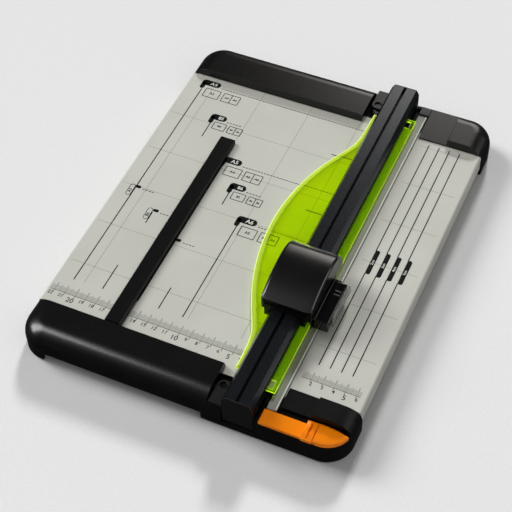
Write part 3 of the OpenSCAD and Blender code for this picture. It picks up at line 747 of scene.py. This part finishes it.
rail = cadCopy("rail", "railBar")
stretchEnds(rail)
softEdges(rail, railShape["edge"] * mm)
dress(rail, "rail", "rail_metal", finishes["railAnodised"], "rail")
for node, name in (("front_end_cap", "frontRailCap"), ("rear_end_cap", "rearRailCap")):
    cap = cadCopy(node, name)
    stretchEnds(cap)
    softEdges(cap, railShape["capEdge"] * mm)
    dress(cap, "rail", "rail_cap", finishes["railCap"], node)


clampPlate = {  # mm
    "front": -156.4, "rear": 163.0, "rows": 96, "besideRail": 5.2,
    "bulge": 36.0, "peak": 160.0, "frontArc": 224.0, "rearArc": 199.0, "soft": 7.0,  # the left edge's swell
    "lip": {"wide": 1.0, "drop": 0.8}, "rim": {"wide": 3.3, "drop": 0.25},
    "atEdge": 0.05, "atLip": 2.0,  # how far from the left edge the edge's and the lip's points may lie
    "strip": {"underRail": 2.0, "notch": 3.4, "notchAt": 2.6, "notchLong": 8.5, "edge": 0.35},
    "facing": {"edge": 0.8, "lip": 0.95, "rim": 0.9985},  # how far upwards their faces look, at most
}
plateLow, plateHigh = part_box("clamp_plate")


def swell(y):  # mm behind the paper stop: an arc each side of the peak, running out into the straight edge
    radius = clampPlate["frontArc" if y < clampPlate["peak"] else "rearArc"]
    fall = radius - math.sqrt(radius ** 2 - (y - clampPlate["peak"]) ** 2)
    arc = clampPlate["bulge"] - fall
    return (arc + math.hypot(arc, clampPlate["soft"])) / 2


def leafEdge(y):  # where the left edge runs
    straight = railLow.x - clampPlate["besideRail"] * mm
    return straight - swell((y - deckPrint["stopLine"] * mm) / mm) * mm


def lowerEdge(leaf, start, stop, drop):  # drops the top's points that far in from the left edge
    def isThere(point):
        return point.z > plateHigh.z - onPlane and start * mm < point.x - leafEdge(point.y) < stop * mm

    shiftPoints(leaf, isThere, (0, 0, -drop * mm))


def makeClampLeaf():
    front, rear = clampPlate["front"] * mm, clampPlate["rear"] * mm
    lip, rim, atEdge = clampPlate["lip"], clampPlate["rim"], clampPlate["atEdge"]
    clearPick()
    bpy.ops.mesh.primitive_grid_add(x_subdivisions=1, y_subdivisions=clampPlate["rows"], size=1)
    leaf = bpy.context.object
    for point in leaf.data.vertices:
        y = front + (rear - front) * (point.co.y + 0.5)
        point.co = (leafEdge(y) if point.co.x < 0 else railMiddle, y, plateHigh.z)
    edit(leaf)
    selectAll()
    extrude((0, 0, plateLow.z - plateHigh.z))
    turnOutwards()
    selectFaces(leaf, lambda center, normal: normal.z > facings["partly"])
    bpy.ops.mesh.inset(thickness=lip["wide"] * mm)
    bpy.ops.mesh.inset(thickness=rim["wide"] * mm)
    lowerEdge(leaf, -atEdge, atEdge, lip["drop"])
    lowerEdge(leaf, atEdge, clampPlate["atLip"], rim["drop"])
    return leaf


def makeClampStrip():
    shape = clampPlate["strip"]
    left, right = railHigh.x - shape["underRail"] * mm, railHigh.x + shape["notch"] * mm
    strip = addBox("clampStrip", (railMiddle, plateLow.y, plateLow.z), plateHigh)
    for end, inward in ((plateLow.y, 1), (plateHigh.y, -1)):
        start = end + inward * shape["notchAt"] * mm
        stop = start + inward * shape["notchLong"] * mm
        slot = addBox("clampSlot", (left, min(start, stop), plateLow.z - overrun),
                      (right, max(start, stop), plateHigh.z + overrun))
        cutAway(strip, slot)
    softEdges(strip, shape["edge"] * mm)
    return strip


clamp = joinAll("clampPlate", [makeClampLeaf(), makeClampStrip()])
dress(clamp, "rail", "lime_clear", finishes["limeClear"], "clamp_plate")
facing = clampPlate["facing"]
stripLeft = railHigh.x - clampPlate["strip"]["underRail"] * mm
addFinish(clamp, finishes["limeStrip"], lambda face: face.center.x > stripLeft)
# painted light: the upright faces take a painted glow, the lip's and rim's tilted faces a paler painted
# sheen
addFinish(clamp, finishes["limeEdgeGlow"], lambda face: abs(face.normal.z) < facing["edge"])
addFinish(clamp, finishes["limeLipSheen"], lambda face: facing["edge"] < face.normal.z < facing["lip"])
addFinish(clamp, finishes["limeRimSheen"], lambda face: facing["lip"] < face.normal.z < facing["rim"])
print("rail dressed")


# cutting head

handleShape = {  # mm, y from the blade's axis apart from the skirt's
    "axisY": -63.0, "left": 34.5, "right": 81.0, "low": 39.0, "front": -35.2, "wall": 1.6,
    "edge": 2.7, "edgeSteps": 5,
    "crown": {"radius": 84.0, "y": 5.0, "z": -22.0, "steps": 40}, "turnAt": 17.0,
    "nose": {"y": 13.66, "z": 38.0, "steps": 28},
    "skirt": {"inside": 79.8, "front": -98.0, "rear": -42.0, "low": 31.0, "lap": 2.0, "edge": 0.3},
    "frontTunnel": {"left": 37.5, "right": 75.9, "top": 47.6},  # room for the saddle's front
    "rearTunnel": {"left": 42.45, "right": 71.55, "top": 44.4},  # room for the rail
}
saddleShape = {"edge": 0.5, "reach": 3.6}  # mm, reach of its front through the handle's front


def crownHeight(y):
    crown = handleShape["crown"]
    return crown["z"] + math.sqrt(crown["radius"] ** 2 - (y - crown["y"]) ** 2)


def angleOn(arc, y, z):
    return math.atan2(z - arc["z"], y - arc["y"])


def spinPoint(arc, angle):
    center = mmPoint(handleShape["left"], handleShape["axisY"] + arc["y"], arc["z"])
    bpy.ops.mesh.spin(steps=arc["steps"], angle=-angle, center=center, axis=(1, 0, 0))


def drawHandleSide():  # one point, drawn up the front, over the crown and down round the nose
    crown, nose, turnAt = handleShape["crown"], handleShape["nose"], handleShape["turnAt"]
    low, front = handleShape["low"], handleShape["front"]
    rise, turnRise = crownHeight(front), crownHeight(turnAt)
    clearPick()
    start = mmPoint(handleShape["left"], handleShape["axisY"] + front, low)
    bpy.ops.mesh.primitive_plane_add(size=mm, location=start)
    shell = bpy.context.object
    applyPlace()
    edit(shell, "VERT")
    selectAll()
    bpy.ops.mesh.merge(type="CENTER")
    extrude((0, 0, (rise - low) * mm))
    spinPoint(crown, angleOn(crown, turnAt, turnRise) - angleOn(crown, front, rise))
    noseRadius = math.hypot(turnAt - nose["y"], turnRise - nose["z"])
    lastAngle = math.asin((low - nose["z"]) / noseRadius)
    spinPoint(nose, lastAngle - angleOn(nose, turnAt, turnRise))
    selectAll()
    bpy.ops.mesh.remove_doubles(threshold=onPlane)
    return shell


def widenSide():
    selectAll()
    bpy.ops.mesh.edge_face_add()
    extrude(((handleShape["right"] - handleShape["left"]) * mm, 0, 0))
    turnOutwards()


def roundRim(shell, floorZ):  # both sides' outlines, and the brow over the front
    frontY = (handleShape["axisY"] + handleShape["front"]) * mm

    def isRim(a, b):
        onSide = abs(a.x - b.x) < onPlane and max(a.z, b.z) > floorZ
        onBrow = abs(a.x - b.x) > onPlane and abs(a.y - frontY) < onPlane and min(a.z, b.z) > floorZ
        return onSide or onBrow

    selectEdges(shell, isRim)
    bevelPicked(handleShape["edge"] * mm, handleShape["edgeSteps"])


def cutTunnel(shell, tunnel, facing):  # opens the front (-1) or the rear (1) over the rail
    left, right, top = (tunnel[side] * mm for side in ("left", "right", "top"))
    cuts = [((left, 0, 0), (1, 0, 0)), ((right, 0, 0), (1, 0, 0)), ((0, 0, top), (0, 0, 1))]

    def isEnd(normal):
        return normal.y * facing > facings["slightly"]

    for place, across in cuts:
        selectFaces(shell, lambda center, normal: isEnd(normal))
        bpy.ops.mesh.bisect(plane_co=place, plane_no=across)
    selectFaces(shell, lambda center, normal: isEnd(normal) and left < center.x < right and center.z < top)
    bpy.ops.mesh.delete(type="FACE")
    leaveEdit()


def makeSkirt():
    skirt = handleShape["skirt"]
    plate = addBox("podWall", mmPoint(skirt["inside"], skirt["front"], skirt["low"]),
                   mmPoint(handleShape["right"], skirt["rear"], handleShape["low"] + skirt["lap"]))
    softEdges(plate, skirt["edge"] * mm)
    return plate


def makeHandle():
    floorZ = handleShape["low"] * mm + near
    shell = drawHandleSide()
    widenSide()
    roundRim(shell, floorZ)
    selectFaces(shell, lambda center, normal: normal.z < -facings["squarely"] and center.z < floorZ)
    bpy.ops.mesh.delete(type="FACE")
    cutTunnel(shell, handleShape["frontTunnel"], -1)
    cutTunnel(shell, handleShape["rearTunnel"], 1)
    applyModifier(shell, "SOLIDIFY", thickness=handleShape["wall"] * mm, offset=-1.0)
    return joinAll("handleShell", [shell, makeSkirt()])


handle = makeHandle()
dress(handle, "press", "head_plastic", finishes["handleSatin"], "handle_cover")
addFinish(handle, finishes["shadeBlack"], lambda face: face.normal.y < -facings["mostly"])  # the front, darkened with painted shade
saddle = cadCopy("carriage", "saddle")
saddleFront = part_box("carriage")[0].y
shiftPoints(saddle, lambda point: point.y < saddleFront + near, (0, -saddleShape["reach"] * mm, 0))
softEdges(saddle, saddleShape["edge"] * mm)
# the saddle takes the same painted shade
dress(saddle, "carriage", "head_plastic", finishes["shadeBlack"], "carriage")


podShape = {  # mm, a box with a low arch for a top
    "arch": {"y": -72.0, "z": -357.2, "radius": 400.0, "sides": 1440},
    "left": 81.0, "right": 94.6, "front": -95.6, "rear": -50.0, "low": 29.9, "edge": 1.2,
    "collar": {"right": 83.2, "grow": 0.9, "edge": 0.5},
    "heel": {"right": 87.3, "rear": -43.6, "low": 31.0, "high": 36.0, "lap": 2.0, "edge": 0.8},
    "ribs": {
        "y": (-61.5, -65.5), "left": 87.0, "right": 93.2, "z": 42.2,
        "radius": 1.5, "sides": 32, "edge": 0.6,
    },
}
guardShape = {  # mm, a thin skirt on the pod's outer side
    "left": 94.7, "thick": 1.0, "front": -89.0, "rear": -46.8, "low": 30.5, "high": 40.6,
    "corner": 6.0, "cornerSteps": 8, "lean": 0.9, "edge": 0.3,
}


def addRod(left, right, y, z, radius, sides):  # along x, in mm
    clearPick()
    bpy.ops.mesh.primitive_cylinder_add(
        vertices=sides, radius=radius * mm, depth=(right - left) * mm,
        location=mmPoint((left + right) / 2, y, z), rotation=(0, math.radians(90), 0),
    )
    applyPlace()
    return bpy.context.object


def makePodBody(right, edge, grow=0.0):
    arch = podShape["arch"]
    body = addRod(podShape["left"], right, arch["y"], arch["z"], arch["radius"] + grow, arch["sides"])
    edit(body)
    cuts = [((0, 0, podShape["low"]), (0, 0, 1)), ((0, podShape["front"], 0), (0, 1, 0)),
            ((0, podShape["rear"], 0), (0, -1, 0))]
    for place, kept in cuts:
        selectAll()
        bpy.ops.mesh.bisect(plane_co=mmPoint(*place), plane_no=kept, clear_inner=True, use_fill=True)
    leaveEdit()
    softEdges(body, edge * mm, segments=3)
    return body


def makeHeel():  # round the rear screw
    shape = podShape["heel"]
    heel = addBox("podHeel", mmPoint(podShape["left"], podShape["rear"] - shape["lap"], shape["low"]),
                  mmPoint(shape["right"], shape["rear"], shape["high"]))
    softEdges(heel, shape["edge"] * mm, segments=3)
    return heel


def makePodRib(y):
    ribs = podShape["ribs"]
    rib = addRod(ribs["left"], ribs["right"], y, ribs["z"], ribs["radius"], ribs["sides"])
    softEdges(rib, ribs["edge"] * mm, segments=3)
    return rib


def makePod():
    collar = podShape["collar"]
    blocks = [makePodBody(podShape["right"], podShape["edge"])]
    blocks.append(makePodBody(collar["right"], collar["edge"], collar["grow"]))
    blocks.append(makeHeel())
    return joinAll("bladePod", blocks + [makePodRib(y) for y in podShape["ribs"]["y"]])


def makeGuard():
    low, high = guardShape["low"] * mm, guardShape["high"] * mm
    right = guardShape["left"] + guardShape["thick"]
    guard = addBox("bladeGuard", mmPoint(guardShape["left"], guardShape["front"], guardShape["low"]),
                   mmPoint(right, guardShape["rear"], guardShape["high"]))
    selectEdges(guard, lambda a, b: abs(a.x - b.x) > near and min(a.z, b.z) > high - near)
    bevelPicked(guardShape["corner"] * mm, guardShape["cornerSteps"])
    for point in guard.data.vertices:  # leans out towards its foot
        point.co.x += guardShape["lean"] * mm * (high - point.co.z) / (high - low)
    softEdges(guard, guardShape["edge"] * mm)
    return guard


pod = makePod()
dress(pod, "press", "gloss_black", finishes["podGloss"], "blade_housing")
guard = makeGuard()
dress(guard, "press", "smoke_clear", finishes["smokeClear"], "blade_guard")
print("head dressed")


# latch and stop bar

latchShape = {  # mm
    "edge": 0.5, "tailFrom": 122.2, "top": 24.5, "crown": 1.5, "rings": 7,
    "ribs": {"top": 26.1, "round": 1.3, "steps": 6},
}
barShape = {"edge": 0.6, "lift": 0.06}  # mm, clear of the print it slides over


def raiseTail(latch):  # ring after ring, shrinking towards the middle of the tail's wide end
    root, top = latchShape["tailFrom"] * mm, latchShape["top"] * mm

    def isTail(center, normal):
        return normal.z > facings["squarely"] and center.x > root and abs(center.z - top) < near

    edit(latch)
    selectAll()
    bpy.ops.mesh.bisect(plane_co=(root, 0, 0), plane_no=(1, 0, 0))
    selectFaces(latch, isTail)
    leaveEdit()
    sides = [point.co.y for point in latch.data.vertices if point.select]
    middle = (root, (min(sides) + max(sides)) / 2, top)
    bpy.ops.object.mode_set(mode="EDIT")
    turn = math.radians(90) / latchShape["rings"]
    for ring in range(1, latchShape["rings"]):
        rise = latchShape["crown"] * (math.sin(ring * turn) - math.sin((ring - 1) * turn))
        shrink = math.cos(ring * turn) / math.cos((ring - 1) * turn)
        extrude((0, 0, rise * mm))
        bpy.ops.transform.resize(value=(shrink, shrink, 1), center_override=middle)
    leaveEdit()


def roundRibs(latch):
    ribs = latchShape["ribs"]
    top = ribs["top"] * mm - near
    selectEdges(latch, lambda a, b: min(a.z, b.z) > top and abs(a.x - b.x) < near)
    bevelPicked(ribs["round"] * mm, ribs["steps"])


latch = cadCopy("mat_latch", "matLatch")
roundRibs(latch)
raiseTail(latch)
softEdges(latch, latchShape["edge"] * mm, segments=3)
dress(latch, "latch", "orange_plastic", finishes["latchOrange"], "mat_latch")
bar = cadCopy("stop_bar", "stopBar")
shiftPoints(bar, lambda point: point.z < deckTop + near, (0, 0, barShape["lift"] * mm))
softEdges(bar, barShape["edge"] * mm)
dress(bar, "stop", "black_plastic", finishes["barRubber"], "stop_bar")
print("latch and stop bar dressed")


# wound springs, each sized to its node's box

springs = {  # wire in mm
    "press_spring": {
        "name": "pressSpring", "count": 1, "wire": 1.1, "turns": 7, "bodies": ("carriage", "press"),
    },
    "rail_springs": {
        "name": "railSprings", "count": 2, "wire": 1.3, "turns": 6, "bodies": ("base", "rail"),
    },
}
coilSteps = {"round": 12, "turn": 24}  # round the wire, and along one turn


def makeCoil(node, y):
    low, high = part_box(node)
    wire, turns = springs[node]["wire"] * mm, springs[node]["turns"]
    radius = (high.x - low.x - wire) / 2
    clearPick()
    bpy.ops.mesh.primitive_circle_add(
        vertices=coilSteps["round"], radius=wire / 2,
        location=(radius, 0, 0), rotation=(math.radians(90), 0, 0),
    )
    coil = bpy.context.object
    applyPlace()
    applyModifier(coil, "SCREW", angle=math.tau * turns, screw_offset=high.z - low.z - wire,
                  steps=coilSteps["turn"] * turns)
    edit(coil, "VERT")
    selectAll()
    bpy.ops.mesh.fill_holes(sides=0)
    bpy.ops.mesh.normals_make_consistent(inside=False)
    leaveEdit()
    coil.location = ((low.x + high.x) / 2, y, low.z + wire / 2)
    return coil


for node, spring in springs.items():
    low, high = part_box(node)
    reach = (high.x - low.x) / 2
    places = [low.y + reach, high.y - reach][:spring["count"]]
    coils = joinAll(spring["name"], [makeCoil(node, y) for y in places])
    polish(coils, "steel", finishes["zincPlate"], node)
    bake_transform(coils)
print("springs wound:", len(springs))


# nodes that keep their own shape

nodeFinishes = {
    "cut_beam": "blackHousing", "guide_posts": "blackHousing", "feet": "footRubber",
    "deck_screws": "zincPlate", "cover_screws": "zincPlate", "clamp_screws": "zincPlate",
    "end_cap_screws": "zincPlate", "housing_screws": "zincPlate", "glide_strips": "glideIvory",
    "press_pins": "zincPlate", "blade_axle": "bladeSteel",
    "axle_clip": "bladeSteel", "blade": "bladeSteel", "blade_hub": "blackHousing",
    "latch_keeper": "zincPlate", "stop_magnets": "bladeSteel",
}
for node, finish in nodeFinishes.items():
    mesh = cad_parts[node].data
    mesh.materials.clear()
    mesh.materials.append(finishes[finish])
print("carried-over nodes finished:", len(nodeFinishes))


# floor, light and camera

studio = {
    "floorSize": 30.0,
    "suns": {  # these light the colours
        "leftSun": {"strength": 2.25, "spread": 26, "from": (-0.816, 0.144, 0.559)},
        "backSun": {"strength": 2.15, "spread": 9, "from": (-0.182, 0.855, 0.485)},
    },
    "boxes": {  # these show in the gloss alone: watts, width and height in metres, place, colour
        "leftBox": {"power": 74, "size": (0.9, 1.95), "from": (-1.6, -0.66, 1.36), "tint": "#ffffff"},
        "backBox": {"power": 14.5, "size": (1.0, 1.1), "from": (-0.08, 1.95, 1.02), "tint": "#fffaf4"},
        "rightBox": {"power": 22, "size": (2.0, 1.2), "from": (1.9, 0.55, 1.0), "tint": "#ffffff"},
    },
    "fill": {  # the world's own light, strongest from the front right, by the cosine off that direction
        "towards": (0.6, -0.4, 0.7),
        "stops": [(0.0, 0.05), (0.3, 0.06), (0.54, 0.1), (0.7, 0.25), (1.0, 0.55)],
    },
}
view = {
    "target": (0.00413, -0.03922, 0.025), "distance": 1.2095,
    "azimuth": 25.248, "elevation": 50.494, "roll": -1.630, "lens": 96.74,
}

clearPick()
bpy.ops.mesh.primitive_plane_add(size=studio["floorSize"])
floor = bpy.context.object
floor.name = "studioFloor"
floor.visible_glossy = False  # keeps the floor out of the black housing's gloss
floor.data.materials.append(makeFinish("floorPaper", {
    "dark": "#e8e8e8", "light": "#ececec", "cloud": 400, "grain": 1500,
    "rough": (0.8, 0.9), "bump": 0.05, "relief": 0.1,
}))


def aim(lamp, start):
    lamp.location = start
    lamp.rotation_euler = (-Vector(start)).to_track_quat("-Z", "Y").to_euler()


def addSun(name, sun):
    bpy.ops.object.light_add(type="SUN")
    lamp = bpy.context.object
    lamp.name = name
    lamp.data.energy = sun["strength"]
    lamp.data.angle = math.radians(sun["spread"])
    lamp.visible_glossy = False
    aim(lamp, sun["from"])


def addSoftbox(name, box):
    bpy.ops.object.light_add(type="AREA")
    lamp = bpy.context.object
    lamp.name = name
    lamp.data.energy = box["power"]
    lamp.data.color = shade(box["tint"])[:3]
    lamp.data.shape = "RECTANGLE"
    lamp.data.size, lamp.data.size_y = box["size"]
    lamp.visible_diffuse = False
    aim(lamp, box["from"])


def addWorld():
    world = bpy.data.worlds.new("studioWorld")
    world.use_nodes = True
    tree = world.node_tree
    sky = tree.nodes["Background"]
    place = addNode(tree, "ShaderNodeTexCoord")
    facing = addNode(tree, "ShaderNodeVectorMath", operation="DOT_PRODUCT")
    facing.inputs[1].default_value = studio["fill"]["towards"]
    tree.links.new(place.outputs["Generated"], facing.inputs[0])
    stops = [(turn, (strength, strength, strength, 1.0)) for turn, strength in studio["fill"]["stops"]]
    tree.links.new(rampFrom(tree, facing.outputs["Value"], stops), sky.inputs["Color"])
    bpy.context.scene.world = world


for name, sun in studio["suns"].items():
    addSun(name, sun)
for name, box in studio["boxes"].items():
    addSoftbox(name, box)
addWorld()
bpy.context.scene.view_settings.view_transform = "Standard"


def placeCamera():
    turn, rise, roll = (math.radians(view[key]) for key in ("azimuth", "elevation", "roll"))
    back = Vector((math.sin(turn) * math.cos(rise), -math.cos(turn) * math.cos(rise), math.sin(rise)))
    bpy.ops.object.camera_add(location=Vector(view["target"]) + back * view["distance"])
    camera = bpy.context.object
    level = back.to_track_quat("Z", "Y").to_matrix()
    camera.rotation_euler = (level @ Matrix.Rotation(roll, 3, "Z")).to_euler()
    camera.data.lens = view["lens"]
    bpy.context.scene.camera = camera


placeCamera()
print("studio ready")
